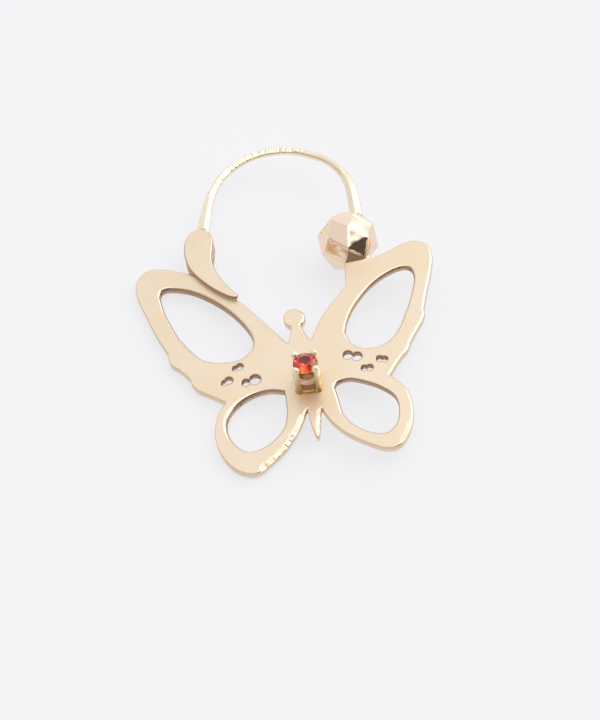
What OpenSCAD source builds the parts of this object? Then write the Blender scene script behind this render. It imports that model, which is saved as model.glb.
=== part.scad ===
// Butterfly earring with a hinged ear wire, lying on its back on a table.
// The pieces are laid out flat, in the sheet's own frame: the origin is inside the sheet, under the
// stone, +X is the side of the catch ball, +Y points to the head and +Z out of the front.
// lying() then leans the whole earring on the three points that it rests on.

/* [Sheet] */
// Thickness of the gold sheet
sheet_t = 0.8; // [0.7:0.05:0.9]
// Radius of the round head
head_r = 0.93; // [0.8:0.01:1]

/* [Hinge] */
// Thickness of each hinge leaf
leaf_t = 0.45; // [0.3:0.05:0.6]
// Radius of the rivet's shank
rivet_r = 0.5; // [0.4:0.05:0.55]
// Radius of the rivet's heads
rivet_head_r = 0.68; // [0.6:0.02:0.8]
// Height of the rivet's heads
rivet_head_t = 0.08; // [0.05:0.01:0.15]
// Radial clearance of the wire's eye round the rivet
running_gap = 0.05; // [0.02:0.01:0.08]
// Clearance between the rivet and the leaves
seat_gap = 0.02; // [0.01:0.01:0.04]

/* [Ear wire] */
// Radius of the wire at its top
wire_r = 0.36; // [0.34:0.01:0.38]
// Radius of the wire's flat eye
eye_r = 1.1; // [1:0.05:1.2]
// Thickness of the flat eye
eye_t = 0.68; // [0.6:0.02:0.7]
// Radius of the pin at the wire's free end
catch_pin_r = 0.4; // [0.35:0.01:0.42]
// Depth that the pin reaches into the ball
catch_depth = 1.1; // [0.8:0.1:1.2]

/* [Catch ball] */
// Radius over the corners of the faceted ball
ball_r = 2.75; // [2.65:0.05:2.85]
// Radius of the ball's hollow
ball_hollow_r = 2.05; // [1.9:0.05:2.1]
// Radius of the hole that takes the wire's pin
catch_hole_r = 0.5; // [0.48:0.01:0.55]

/* [Setting] */
// Radius of the stone's girdle
stone_r = 1.05; // [0.95:0.05:1.1]
// Height of the girdle over the sheet's front
stone_lift = 2.7; // [2.4:0.1:2.9]
// Radius of the claws
claw_r = 0.24; // [0.2:0.02:0.26]
// Distance of the claws from the stone's axis
claw_out = 1.13; // [1.1:0.01:1.2]
// Radius of the wire of the two rails
rail_r = 0.16; // [0.12:0.01:0.18]
// Clearance between the stone and its seat
stone_gap = 0.03; // [0.02:0.01:0.05]

/* [Hidden] */
$fn = 48;

GOLD = "#e6c89c";
BRIGHT_GOLD = "#f0d8a8";
RED = "#b01810";

// Straight steps in each span of a smooth outline
SPAN_STEPS = 4;
// Small length by which joined solids run into each other
BITE = 0.1;
LEAF_SINK = 0.02;

half_t = sheet_t / 2;
head_at = [-0.1, 6.86];
rivet_at = [-7, 16.35];
// The ball sits a little proud of the sheet's middle.
ball_at = [5.7, 14.1, 0.142];
// Turn that shows the ball's facets as they lie round its front
ball_turn = [135, 56, -176];
girdle_z = half_t + stone_lift;
// The setting stands a little to one side on the body, and a little turned
setting_at = [0.1, 0];
setting_turn = -5;
// Height of the claws' round tips over the girdle, and how far the tips lean in
claw_over = 0.42;
claw_lean = 0.06;
rail_lift = 1.35;
crown_t = 0.36;
girdle_t = 0.06;
pavilion_t = 0.85;
table_r = 0.58;

// Lean of the sheet on the table, and the shift that puts the origin under the middle of the box
lean = [1.978, -6.338, 0];
shift = [0.326, -9.068, 1.471];

// The outline runs anticlockwise from the neck. Each row is one smooth stretch of [x, y] points in
// millimetres, and the outline has a corner where one row meets the next.
OUTLINE = [
    // neck and upper left wing, up to the first notch of its outer edge
    [[-0.5, 6.2], [-0.62, 5.3], [-1, 4.3]],
    [[-1, 4.3], [-2.8, 7.25], [-4.75, 10.1], [-7.1, 12.65], [-9.5, 14.1], [-11.4, 14.65], [-12.7, 14],
        [-13.15, 12.4], [-12.6, 9.9], [-11.9, 7.4], [-11.15, 5.45]],
    [[-11.2, 5.1], [-11.05, 4.3], [-10.4, 3.6], [-9.6, 2.45]],
    [[-9.6, 2.1], [-9.2, 1.3], [-8.2, 0.5], [-6.95, -0.5]],
    // lower left wing
    [[-6.95, -0.5], [-7.75, -1.6], [-8.2, -3], [-8.25, -4.5], [-7.7, -6.3], [-6.7, -7.5], [-5.4, -7.95],
        [-4.2, -7.3], [-2.7, -6.1], [-1.35, -4.4], [-0.4, -2.6]],
    // tail
    [[-0.4, -2.6], [-0.32, -4], [-0.05, -5.45], [0.22, -5.3], [0.5, -4], [0.75, -2.75]],
    // lower right wing
    [[0.75, -2.75], [1.35, -4.15], [2.3, -5.5], [3.75, -6.75], [5.3, -7.7], [6.6, -7.65], [7.6, -6.4],
        [8.2, -4.7], [8.2, -2.9], [7.75, -1.75], [6.9, -0.65]],
    // upper right wing, from its last scallop to the ball's tab
    [[6.9, -0.65], [7.9, 0.65], [8.75, 1.5], [9.15, 2.25]],
    [[9.35, 2.6], [9.95, 3.45], [10.5, 4.2], [10.85, 4.9]],
    [[10.85, 5.4], [11.37, 7], [12.02, 8.8], [12.55, 10.7], [12.42, 12.05], [11.4, 12.7], [10, 12.5],
        [8.4, 11.9], [7.3, 11.6]],
    [[7.3, 12.4], [5.1, 12.4]],
    [[4.95, 11.2], [4.85, 10.2], [4.75, 9.25]],
    // inner edge of the upper right wing and the neck's right side
    [[4.55, 9.05], [3.5, 7.9], [2.5, 6.8], [1.7, 5.6], [0.95, 4.25]],
    [[0.95, 4.25], [0.6, 5.1], [0.3, 6.2]]
];

// The four large openings, each a list of stretches as above.
OPENINGS = [
    // upper left
    [[[-11.15, 11.6], [-10.9, 12.2], [-10, 12.25], [-8.5, 11.65], [-6.9, 10.4], [-5.4, 8.7], [-4.3, 6.8],
        [-3.9, 5.4], [-4.2, 4.3], [-5.3, 3.6], [-6.9, 3.65], [-8.3, 4.25], [-9.2, 5.4], [-9.85, 6.6]],
     [[-10, 6.75], [-10.4, 8], [-10.95, 9.8]]],
    // lower left
    [[[-2, -0.4], [-3.2, -0.05], [-4.6, -0.2], [-5.9, -0.85], [-6.9, -1.9], [-7.2, -3.2], [-6.85, -4.5],
        [-5.9, -5.6], [-4.9, -5.75], [-3.6, -5.15], [-2.5, -4], [-2.05, -2.4]]],
    // lower right
    [[[2.2, -0.8], [2.6, -0.4], [3.6, -0.35], [4.8, -0.9], [5.9, -1.65], [6.9, -2.8], [7.05, -4.2],
        [6.6, -5.6], [5.6, -6.3], [4.2, -5.75], [3.1, -4.75], [2.45, -3.6]]],
    // upper right
    [[[3.9, 4.5], [4.4, 5.9], [5.3, 7.3], [6.7, 8.75], [8.2, 9.7], [9.6, 10.15], [10.45, 9.9], [10.6, 8.8],
        [10.1, 7.2], [9.45, 5.7]],
     [[9.25, 5.4], [8.6, 4.1], [7.6, 2.9], [6.3, 2.35], [5, 2.6], [4.15, 3.4]]]
];

// The pierced holes, two overlapping drillings each: the place and radius of both.
HOLES = [
    // [x, y, radius, second x, second y, second radius]
    [-4.27, 1.25, 0.5, -5.05, 1.1, 0.36],
    [-5.35, 2.85, 0.3, -5.75, 2.72, 0.26],
    [-6.45, 1.62, 0.36, -6.85, 1.45, 0.27],
    [3.75, 2.05, 0.42, 4.5, 1.75, 0.42],
    [6.3, 1.12, 0.28, 6.7, 0.98, 0.28],
    [4.9, 0.45, 0.28, 5.35, 0.4, 0.3]
];

// Outline of the hinge leaf: a drop with its point on the wing and its head round the rivet.
LEAF = [
    [[-4.5, 10.05], [-5.35, 11.4], [-6, 13], [-6.2, 14.4], [-5.95, 15.7], [-5.85, 16.7], [-6.3, 17.6],
        [-7.2, 17.8], [-8.1, 17.1], [-8.5, 15.6], [-8.3, 13.9], [-7.6, 12.5], [-6.5, 11.1], [-5.4, 10.1],
        [-4.65, 9.75]]
];

leaf_top_y = max([for (p = LEAF[0]) p.y]);

// Centre line of the ear wire from the rivet to its shoulder over the ball. The wire thickens toward
// both ends: the third number of a row is what its radius has over wire_r.
WIRE = [
    // [x, y, extra radius]
    [-7, 16.35, 0.2], [-6.4, 18.8, 0.17], [-6.04, 20.1, 0.11], [-5.68, 21.3, 0.05], [-5.15, 22.4, 0.01],
    [-4.5, 23.4, 0], [-3.65, 24.3, 0], [-1.95, 25.3, 0], [0, 25.75, 0], [2.3, 25.45, 0],
    [4.3, 24.4, 0], [5.35, 23.55, 0], [6.1, 22.55, 0.02], [6.62, 21.4, 0.07], [6.87, 20.2, 0.13],
    [6.93, 19, 0.17], [6.9, 16.7, 0.2]
];
WIRE_SIDES = 20;
// The flats of the wire's leg run this far past the leaves.
FLAT_OVER = 0.25;

// One point of a smooth curve through b and c, where a and d are its neighbours and t runs 0 to 1.
function between(a, b, c, d, t) =
    (2 * b + (c - a) * t + (2 * a - 5 * b + 4 * c - d) * t * t + (3 * b - a - 3 * c + d) * t * t * t) / 2;

// The points of one smooth stretch, without its last, in as many numbers as its rows have.
function stretch(p) = [
    for (i = [0 : len(p) - 2], s = [0 : SPAN_STEPS - 1])
        between(p[max(i - 1, 0)], p[i], p[i + 1], p[min(i + 2, len(p) - 1)], s / SPAN_STEPS)
];

// The points of a closed outline of several stretches, each corner once.
function outline(rows) = [
    for (i = [0 : len(rows) - 1])
        let (row = rows[i], end = row[len(row) - 1], next = rows[(i + 1) % len(rows)][0])
        each concat(stretch(row), norm(end - next) < 0.01 ? [] : [end])
];

// The wire's skin: a ring of points round each point of the centre line.
wire_path = concat(stretch(WIRE), [WIRE[len(WIRE) - 1]]);
wire_end = len(wire_path) - 1;
catch_x = wire_path[wire_end].x;
shoulder_y = wire_path[wire_end].y;
function heading(i) =
    let (step = wire_path[min(i + 1, wire_end)] - wire_path[max(i - 1, 0)]) atan2(step.y, step.x);
wire_points = [
    for (i = [0 : wire_end], k = [0 : WIRE_SIDES - 1])
        let (r = wire_r + wire_path[i][2], turn = 360 * k / WIRE_SIDES)
        [wire_path[i].x - r * cos(turn) * sin(heading(i)), wire_path[i].y + r * cos(turn) * cos(heading(i)),
            r * sin(turn)]
];
function skin(i, k) = i * WIRE_SIDES + k % WIRE_SIDES;
wire_faces = concat(
    [[for (k = [0 : WIRE_SIDES - 1]) k], [for (k = [WIRE_SIDES - 1 : -1 : 0]) skin(wire_end, k)]],
    [for (i = [0 : wire_end - 1], k = [0 : WIRE_SIDES - 1])
        [skin(i, k), skin(i + 1, k), skin(i + 1, k + 1), skin(i, k + 1)]]
);

// The faceted ball is a snub cube: 24 corners, 32 triangles and 6 squares.
TWIST = 1.8393;
CORNER = [1, 1 / TWIST, TWIST];
SIGNS = [for (x = [-1, 1], y = [-1, 1], z = [-1, 1]) [x, y, z]];
function corners(orders, parity) = [
    for (o = orders, s = SIGNS) if (s.x * s.y * s.z == parity) [for (k = [0 : 2]) CORNER[o[k]] * s[k]]
];
ball_points = concat(
    corners([[0, 1, 2], [1, 2, 0], [2, 0, 1]], -1),
    corners([[0, 2, 1], [2, 1, 0], [1, 0, 2]], 1)
);
// Two corners share an edge when they are nearer than this.
NEAR = 1.8;
function near(i, j) = i != j && norm(ball_points[i] - ball_points[j]) < NEAR;
function wound(f) = cross(ball_points[f[1]] - ball_points[f[0]], ball_points[f[2]] - ball_points[f[0]])
    * ball_points[f[0]] > 0 ? [for (k = [len(f) - 1 : -1 : 0]) f[k]] : f;
last = len(ball_points) - 1;
triangles = [
    for (i = [0 : last], j = [i + 1 : 1 : last], k = [j + 1 : 1 : last])
        if (near(i, j) && near(j, k) && near(i, k)) wound([i, j, k])
];
squares = [
    for (axis = [0 : 2], side = [-1, 1])
        let (four = [for (i = [0 : last]) if (ball_points[i][axis] * side > NEAR) i])
        let (beside = [for (i = four) if (near(i, four[0])) i])
        let (across = [for (i = four) if (i != four[0] && !near(i, four[0])) i])
        wound([four[0], beside[0], across[0], beside[1]])
];

// Corners of the stone, seen from its girdle: the table's eight, the girdle's upper and lower
// sixteen, and the point.
function ring(count, r, z) = [for (i = [0 : count - 1]) [r * cos(360 * i / count), r * sin(360 * i / count), z]];
stone_points = concat(
    ring(8, table_r, girdle_t + crown_t),
    ring(16, stone_r, girdle_t),
    ring(16, stone_r, 0),
    [[0, 0, -pavilion_t]]
);
function upper(i) = 8 + i % 16;
function lower(i) = 24 + i % 16;
POINT = 40;
table = [for (i = [7 : -1 : 0]) i];
stars = [for (i = [0 : 7]) [i, (i + 1) % 8, upper(2 * i + 1)]];
mains = [for (i = [0 : 7], side = [-1, 0]) [i, upper(2 * i + side + 17), upper(2 * i + side + 16)]];
girdle = [for (i = [0 : 15]) [upper(i), upper(i + 1), lower(i + 1), lower(i)]];
pavilion = [for (i = [0 : 15]) [lower(i), lower(i + 1), POINT]];

module faceted_ball() {
    scale(ball_r / norm(CORNER))
        polyhedron(ball_points, concat(triangles, squares));
}

module sheet() {
    translate([0, 0, -half_t])
        linear_extrude(sheet_t)
            difference() {
                union() {
                    polygon(outline(OUTLINE));
                    translate(head_at)
                        circle(head_r);
                }
                for (opening = OPENINGS)
                    polygon(outline(opening));
                for (h = HOLES) {
                    translate([h[0], h[1]])
                        circle(h[2], $fn = 24);
                    translate([h[3], h[4]])
                        circle(h[5], $fn = 24);
                }
            }
}

// One hinge leaf, on the front of the sheet or on its back, sunk a little into it.
module leaf(side) {
    translate([0, 0, side > 0 ? half_t - LEAF_SINK : -half_t - leaf_t])
        linear_extrude(leaf_t + LEAF_SINK)
            difference() {
                polygon(outline(LEAF));
                translate(rivet_at)
                    circle(rivet_r + seat_gap);
            }
}

// A claw stands on the sheet and its round tip reaches over the stone.
module claw() {
    top_z = girdle_z + claw_over;
    translate([claw_out, 0, half_t - BITE])
        cylinder(h = top_z - half_t + BITE, r = claw_r, $fn = 24);
    translate([claw_out - claw_lean, 0, top_z])
        sphere(claw_r, $fn = 24);
}

module rail(z, radius) {
    translate([0, 0, z])
        rotate_extrude()
            translate([radius, 0])
                circle(rail_r, $fn = 16);
}

// Round blank that the stone drops into, with its clearance.
module stone_seat() {
    r = stone_r + stone_gap;
    translate([0, 0, girdle_z - pavilion_t - stone_gap])
        cylinder(h = pavilion_t, r1 = 0, r2 = r);
    translate([0, 0, girdle_z - stone_gap])
        cylinder(h = girdle_t + 2 * stone_gap, r = r);
    translate([0, 0, girdle_z + girdle_t + stone_gap])
        cylinder(h = crown_t, r1 = r, r2 = table_r);
}

module on_body() {
    translate(setting_at)
        rotate([0, 0, setting_turn])
            children();
}

module setting() {
    on_body()
        difference() {
            union() {
                for (quarter = [0 : 3])
                    rotate([0, 0, 45 + 90 * quarter])
                        claw();
                rail(half_t + rail_r - BITE / 2, claw_out - claw_r / 2);
                rail(half_t + rail_lift, claw_out - rail_r);
            }
            stone_seat();
        }
}

// Sheet, leaves, ball and setting are soldered, so they are one solid.
module butterfly() {
    color(GOLD)
        difference() {
            union() {
                sheet();
                leaf(1);
                leaf(-1);
                translate(ball_at)
                    rotate(ball_turn)
                        faceted_ball();
                setting();
            }
            translate(ball_at)
                sphere(ball_hollow_r);
            translate([catch_x, ball_at.y, 0])
                rotate([-90, 0, 0])
                    cylinder(h = ball_r + 1, r = catch_hole_r);
        }
}

// Round stone: an eight-sided table, 24 crown facets, a thin girdle and 16 pavilion facets.
module red_stone() {
    color(RED)
        on_body()
            translate([0, 0, girdle_z])
                polyhedron(stone_points, concat([table], stars, mains, girdle, pavilion));
}

// The wire runs up from its flat eye, over the top and down into the ball, where it ends in a pin.
module ear_wire() {
    color(BRIGHT_GOLD)
        difference() {
            union() {
                polyhedron(wire_points, wire_faces);
                translate([catch_x, shoulder_y - catch_depth, 0])
                    rotate([-90, 0, 0])
                        cylinder(h = catch_depth + BITE, r = catch_pin_r);
                translate([rivet_at.x, rivet_at.y, -eye_t / 2])
                    cylinder(h = eye_t, r = eye_r);
            }
            // flats that let the leg turn between the leaves
            for (side = [0, 1])
                mirror([0, 0, side])
                    translate([rivet_at.x - 2, rivet_at.y - 2, eye_t / 2])
                        cube([4, leaf_top_y + FLAT_OVER - rivet_at.y + 2, 1]);
            translate(rivet_at)
                cylinder(h = sheet_t, r = rivet_r + running_gap, center = true);
        }
}

module hinge_rivet() {
    stack = half_t + leaf_t + seat_gap;
    color(BRIGHT_GOLD)
        translate(rivet_at) {
            cylinder(h = 2 * stack + rivet_head_t, r = rivet_r, center = true);
            for (side = [0, 1])
                mirror([0, 0, side])
                    translate([0, 0, stack])
                        cylinder(h = rivet_head_t, r = rivet_head_r);
        }
}

module lying() {
    translate(shift)
        rotate(lean)
            children();
}

lying() butterfly();
lying() red_stone();
lying() ear_wire();
lying() hinge_rivet();
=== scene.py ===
"""Butterfly earring with a hinged ear wire, lying on a pale table: its surfaces, finishes and light.

Shapes are worked out in millimetres in the sheet's own frame, where the origin is inside the sheet
under the stone, +X is the catch ball's side, +Y points to the head and +Z comes out of the front.
placed() leans them on the table, into the frame that all objects share.
"""

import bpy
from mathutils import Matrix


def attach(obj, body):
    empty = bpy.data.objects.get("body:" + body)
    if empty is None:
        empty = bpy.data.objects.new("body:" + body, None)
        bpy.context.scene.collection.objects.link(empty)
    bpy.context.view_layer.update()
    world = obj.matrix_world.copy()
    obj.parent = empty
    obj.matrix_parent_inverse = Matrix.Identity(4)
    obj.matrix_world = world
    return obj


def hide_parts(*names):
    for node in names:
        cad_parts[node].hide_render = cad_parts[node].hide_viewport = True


bl_info = {
    "name": "Butterfly Earring",
    "version": (1, 0, 0),
    "blender": (4, 5, 0),
    "location": "View3D > Sidebar > Earring",
    "description": "Builds a sawn and bright-cut gold butterfly earring and the table it lies on",
    "category": "Object",
}

import bmesh
import bpy
import numpy as np
from bpy.props import FloatProperty, IntProperty, PointerProperty, StringProperty
from mathutils import Matrix
from mathutils.geometry import delaunay_2d_cdt

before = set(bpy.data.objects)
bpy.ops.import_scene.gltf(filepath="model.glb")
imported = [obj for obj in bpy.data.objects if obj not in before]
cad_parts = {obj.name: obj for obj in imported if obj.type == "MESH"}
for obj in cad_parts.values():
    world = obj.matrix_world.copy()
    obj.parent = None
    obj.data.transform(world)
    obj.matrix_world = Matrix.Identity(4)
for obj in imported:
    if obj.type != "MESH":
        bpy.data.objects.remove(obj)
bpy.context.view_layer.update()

# Lean of the sheet on the table, about X and then about Y, in degrees, and its shift in millimetres
LEAN = (1.978, -6.338)
SHIFT = (0.326, -9.068, 1.471)

# Half the sheet's thickness, the round head, and the rivet with its holes in the leaves and in the eye
HALF_SHEET = 0.4
HEAD_AT, HEAD_RADIUS = (-0.1, 6.86), 0.93
RIVET_AT, RIVET_HOLE, EYE_HOLE = (-7.0, 16.35), 0.52, 0.55
# Height of the front leaf's face, how far both leaves are let into the sheet, and half the eye's thickness
LEAF_TOP, LEAF_SINK, EYE_HALF = 0.85, 0.02, 0.34
# The ball's middle, its radius over the corners, its turns about X, Y and Z in degrees, and its hole
BALL_AT, BALL_RADIUS, BALL_TURN = (5.7, 14.1, 0.142), 2.75, (135, 56, -176)
CATCH_X, CATCH_RADIUS = 6.9, 0.5
# The setting's middle and its turn about Z in degrees
SETTING_AT, SETTING_TURN = (0.1, 0.0), -5

# The sheet's outline runs anticlockwise from the neck. Each row is one smooth stretch.
OUTLINE = [
    # neck and upper left wing, up to the first notch of its outer edge
    [(-0.5, 6.2), (-0.62, 5.3), (-1, 4.3)],
    [(-1, 4.3), (-2.8, 7.25), (-4.75, 10.1), (-7.1, 12.65), (-9.5, 14.1), (-11.4, 14.65), (-12.7, 14),
     (-13.15, 12.4), (-12.6, 9.9), (-11.9, 7.4), (-11.15, 5.45)],
    [(-11.2, 5.1), (-11.05, 4.3), (-10.4, 3.6), (-9.6, 2.45)],
    [(-9.6, 2.1), (-9.2, 1.3), (-8.2, 0.5), (-6.95, -0.5)],
    # lower left wing
    [(-6.95, -0.5), (-7.75, -1.6), (-8.2, -3), (-8.25, -4.5), (-7.7, -6.3), (-6.7, -7.5), (-5.4, -7.95),
     (-4.2, -7.3), (-2.7, -6.1), (-1.35, -4.4), (-0.4, -2.6)],
    # tail
    [(-0.4, -2.6), (-0.32, -4), (-0.05, -5.45), (0.22, -5.3), (0.5, -4), (0.75, -2.75)],
    # lower right wing
    [(0.75, -2.75), (1.35, -4.15), (2.3, -5.5), (3.75, -6.75), (5.3, -7.7), (6.6, -7.65), (7.6, -6.4),
     (8.2, -4.7), (8.2, -2.9), (7.75, -1.75), (6.9, -0.65)],
    # upper right wing, from its last scallop to the ball's tab
    [(6.9, -0.65), (7.9, 0.65), (8.75, 1.5), (9.15, 2.25)],
    [(9.35, 2.6), (9.95, 3.45), (10.5, 4.2), (10.85, 4.9)],
    [(10.85, 5.4), (11.37, 7), (12.02, 8.8), (12.55, 10.7), (12.42, 12.05), (11.4, 12.7), (10, 12.5),
     (8.4, 11.9), (7.3, 11.6)],
    [(7.3, 12.4), (5.1, 12.4)],
    [(4.95, 11.2), (4.85, 10.2), (4.75, 9.25)],
    # inner edge of the upper right wing and the neck's right side
    [(4.55, 9.05), (3.5, 7.9), (2.5, 6.8), (1.7, 5.6), (0.95, 4.25)],
    [(0.95, 4.25), (0.6, 5.1), (0.3, 6.2)],
]

# The four large openings, in smooth stretches too
OPENINGS = [
    # upper left
    [[(-11.15, 11.6), (-10.9, 12.2), (-10, 12.25), (-8.5, 11.65), (-6.9, 10.4), (-5.4, 8.7), (-4.3, 6.8),
      (-3.9, 5.4), (-4.2, 4.3), (-5.3, 3.6), (-6.9, 3.65), (-8.3, 4.25), (-9.2, 5.4), (-9.85, 6.6)],
     [(-10, 6.75), (-10.4, 8), (-10.95, 9.8)]],
    # lower left
    [[(-2, -0.4), (-3.2, -0.05), (-4.6, -0.2), (-5.9, -0.85), (-6.9, -1.9), (-7.2, -3.2), (-6.85, -4.5),
      (-5.9, -5.6), (-4.9, -5.75), (-3.6, -5.15), (-2.5, -4), (-2.05, -2.4)]],
    # lower right
    [[(2.2, -0.8), (2.6, -0.4), (3.6, -0.35), (4.8, -0.9), (5.9, -1.65), (6.9, -2.8), (7.05, -4.2),
      (6.6, -5.6), (5.6, -6.3), (4.2, -5.75), (3.1, -4.75), (2.45, -3.6)]],
    # upper right
    [[(3.9, 4.5), (4.4, 5.9), (5.3, 7.3), (6.7, 8.75), (8.2, 9.7), (9.6, 10.15), (10.45, 9.9), (10.6, 8.8),
      (10.1, 7.2), (9.45, 5.7)],
     [(9.25, 5.4), (8.6, 4.1), (7.6, 2.9), (6.3, 2.35), (5, 2.6), (4.15, 3.4)]],
]

# The pierced holes, two overlapping drillings each: the place and radius of both
HOLES = [
    (-4.27, 1.25, 0.5, -5.05, 1.1, 0.36),
    (-5.35, 2.85, 0.3, -5.75, 2.72, 0.26),
    (-6.45, 1.62, 0.36, -6.85, 1.45, 0.27),
    (3.75, 2.05, 0.42, 4.5, 1.75, 0.42),
    (6.3, 1.12, 0.28, 6.7, 0.98, 0.28),
    (4.9, 0.45, 0.28, 5.35, 0.4, 0.3),
]

# Bright cuts along the outline: from where to where, the blocks' length, width and slope, and how much they
# tilt along the edge
BRIGHT_CUTS = [
    # lower left wing, tail, and corner of the lower right wing
    ((-5.0, -7.9), (-0.75, -3.35), 0.45, 0.41, 0.38, 0.2),
    ((0.25, -5.3), (0.7, -3.0), 0.3, 0.36, 0.4, 0.1),
    ((6.7, -7.6), (7.9, -5.7), 0.55, 0.4, 0.3, 0.08),
]

# Outline of both leaves
LEAF = [
    [(-4.5, 10.05), (-5.35, 11.4), (-6, 13), (-6.2, 14.4), (-5.95, 15.7), (-5.85, 16.7), (-6.3, 17.6),
     (-7.2, 17.8), (-8.1, 17.1), (-8.5, 15.6), (-8.3, 13.9), (-7.6, 12.5), (-6.5, 11.1), (-5.4, 10.1),
     (-4.65, 9.75)],
]

# Centre line of the ear wire from the rivet to its shoulder: x, y and the radius over that at the top
WIRE = [
    (-7, 16.35, 0.2), (-6.4, 18.8, 0.17), (-6.04, 20.1, 0.11), (-5.68, 21.3, 0.05), (-5.15, 22.4, 0.01),
    (-4.5, 23.4, 0), (-3.65, 24.3, 0), (-1.95, 25.3, 0), (0, 25.75, 0), (2.3, 25.45, 0),
    (4.3, 24.4, 0), (5.35, 23.55, 0), (6.1, 22.55, 0.02), (6.62, 21.4, 0.07), (6.87, 20.2, 0.13),
    (6.93, 19, 0.17), (6.9, 16.7, 0.2),
]
# Places along that line: the wire's start in the eye, the end of its flat part between the leaves, and
# where the filed blocks and the cross cuts begin
WIRE_START, FLAT_END, BLOCKS_FROM, CUTS_FROM = 0.75, 1.75, 5.4, 11.2
# Shoulder and pin, as the drop from the line's end and the radius there. The pin ends in a round tip.
PIN = [(0.0, 0.5), (0.0, 0.4), (0.05, 0.4), (0.9, 0.4), (1.02, 0.33), (1.08, 0.18), (1.1, 0.0)]
# Profile of the flat eye, as radius and height
EYE = [
    (EYE_HOLE, -0.3), (0.59, -EYE_HALF), (1.04, -EYE_HALF), (1.1, -0.28), (1.1, 0.28),
    (1.04, EYE_HALF), (0.59, EYE_HALF), (EYE_HOLE, 0.3), (EYE_HOLE, -0.3),
]
# Dome of the rivet's head, as radius and height over the leaf
RIVET_DOME = [(0, 0.007), (0.4, 0.006), (0.6, 0.005), (0.65, 0.003), (0.66, 0.001), (0.5, 0)]

# Centre line of a claw, as distance from the setting's axis and height, up to the tip bent over the stone
CLAW = [(1.1, 0.3), (1.12, 1.2), (1.14, 2.3), (1.14, 3.1), (1.09, 3.45), (0.97, 3.62)]
# The two rails: height over the sheet's face, distance from the axis, and share of the rail's radius
RAILS = [(0.08, 1.01, 0.75), (1.35, 0.97, 1.3)]

# Widths of the finishes' patterns: the satin's unevenness, the buff's hairlines, the dents of hand-buffed
# facets, the cast skin, the garnet's clouds and the opal sheet's tooth. A pattern's scale is 1000 over it.
WAVES, HAIRLINE, DENTS, SKIN, CLOUDS, TOOTH = 3.0, 0.6, 1.1, 0.25, 0.6, 0.5
# Roughness of the satin, from least to most, of the buffed rim and of the sawn walls
SATIN_ROUGH, RIM_ROUGH, SAWN_ROUGH = (0.4, 0.46), 0.17, 0.42

# The camera: its place in the shared frame, still in millimetres, the direction back from what it looks
# at, a direction that is up in its picture, and its lens and sensor width
CAMERA_AT = (-18.47, -128.88, 161.03)
CAMERA_BACK = (-0.0918, -0.6068, 0.7902)
CAMERA_UP = (0.111, 0.7818, 0.6133)
CAMERA_LENS, SENSOR = 144, 36

# Points closer than this are one point, and edges shorter than this are taken out, in metres
SAME_POINT, NO_EDGE = 2e-7, 1e-8
# Points are compared with all edges in parts of about this many, so that the arrays stay small
PART = 1000


# Shapes

def about(axis, degrees):
    """The matrix that turns by an angle about X, Y or Z: cosine and sine in the other two axes' plane."""
    return np.array(Matrix.Rotation(np.radians(degrees), 3, axis))


def placed(points):
    """Points of the sheet's frame in the shared frame: turned about X, then about Y, shifted, in metres."""
    return (np.asarray(points) @ (about("Y", LEAN[1]) @ about("X", LEAN[0])).T + SHIFT) / 1000


def smooth_step(low, high, value):
    """Rises from 0 at low to 1 at high as three squares less two cubes of the share between."""
    share = np.clip((value - low) / (high - low), 0, 1)
    return share * share * (3 - 2 * share)


def turning(points):
    """Twice the area that a contour runs round anticlockwise: the sum of its edges' cross products."""
    ahead = np.roll(points, -1, axis=0)
    return (points[:, 0] * ahead[:, 1] - points[:, 1] * ahead[:, 0]).sum()


def smooth_curve(rows, step):
    """A Catmull-Rom curve through the rows, in points about one step apart.

    In each span the point is half of 2b + (c - a)t + (2a - 5b + 4c - d)t^2 + (3b - a - 3c + d)t^3,
    where b and c are its ends and a and d their neighbours. The points are then spaced evenly by
    length along the curve.
    """
    rows = np.asarray(rows, float)
    padded = np.concatenate((rows[:1], rows, rows[-1:]))
    a, b, c, d = (padded[k:len(rows) - 1 + k, None] for k in range(4))
    t = np.linspace(0, 1, 24, endpoint=False)[None, :, None]
    fine = 2 * b + (c - a) * t + (2 * a - 5 * b + 4 * c - d) * t**2 + (3 * b - a - 3 * c + d) * t**3
    fine = np.concatenate((fine.reshape(-1, rows.shape[1]) / 2, rows[-1:]))
    run = np.concatenate(([0], np.cumsum(np.linalg.norm(np.diff(fine[:, :2], axis=0), axis=1))))
    even = np.linspace(0, run[-1], max(2, int(round(run[-1] / step)) + 1))
    return np.stack([np.interp(even, run, column) for column in fine.T], axis=1)


def contour(rows, step):
    """A closed outline of several smooth stretches, joined by straight lines, with each corner once."""
    points = np.zeros((0, 2))
    for row, following in zip(rows, rows[1:] + rows[:1]):
        curve = smooth_curve(row, step)
        count = int(np.ceil(np.linalg.norm(curve[-1] - following[0]) / step))
        join = np.linspace(curve[-1], following[0], count, endpoint=False)
        points = np.concatenate((points, curve[:-1], join))
    return points if turning(points) > 0 else points[::-1]


def arc(centre, radius, start, end, step):
    """Points on a circle from one angle to another: the centre plus radius times cosine and sine."""
    turn = np.linspace(start, end, max(8, int(abs(end - start) * radius / step)))
    return np.asarray(centre) + radius * np.stack((np.cos(turn), np.sin(turn)), axis=1)


def with_head(points, step):
    """The outline with the round head over the neck: its arc replaces what lies in the head's circle."""
    # points that all but touch the circle go too
    clear = 0.02
    kept = points[np.hypot(*(points - HEAD_AT).T) > HEAD_RADIUS + clear]
    first, last = kept[0] - HEAD_AT, kept[-1] - HEAD_AT
    start = np.arctan2(last[1], last[0])
    end = np.arctan2(first[1], first[0]) + 2 * np.pi
    return np.concatenate((kept, arc(HEAD_AT, HEAD_RADIUS, start, end, step)))


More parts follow.
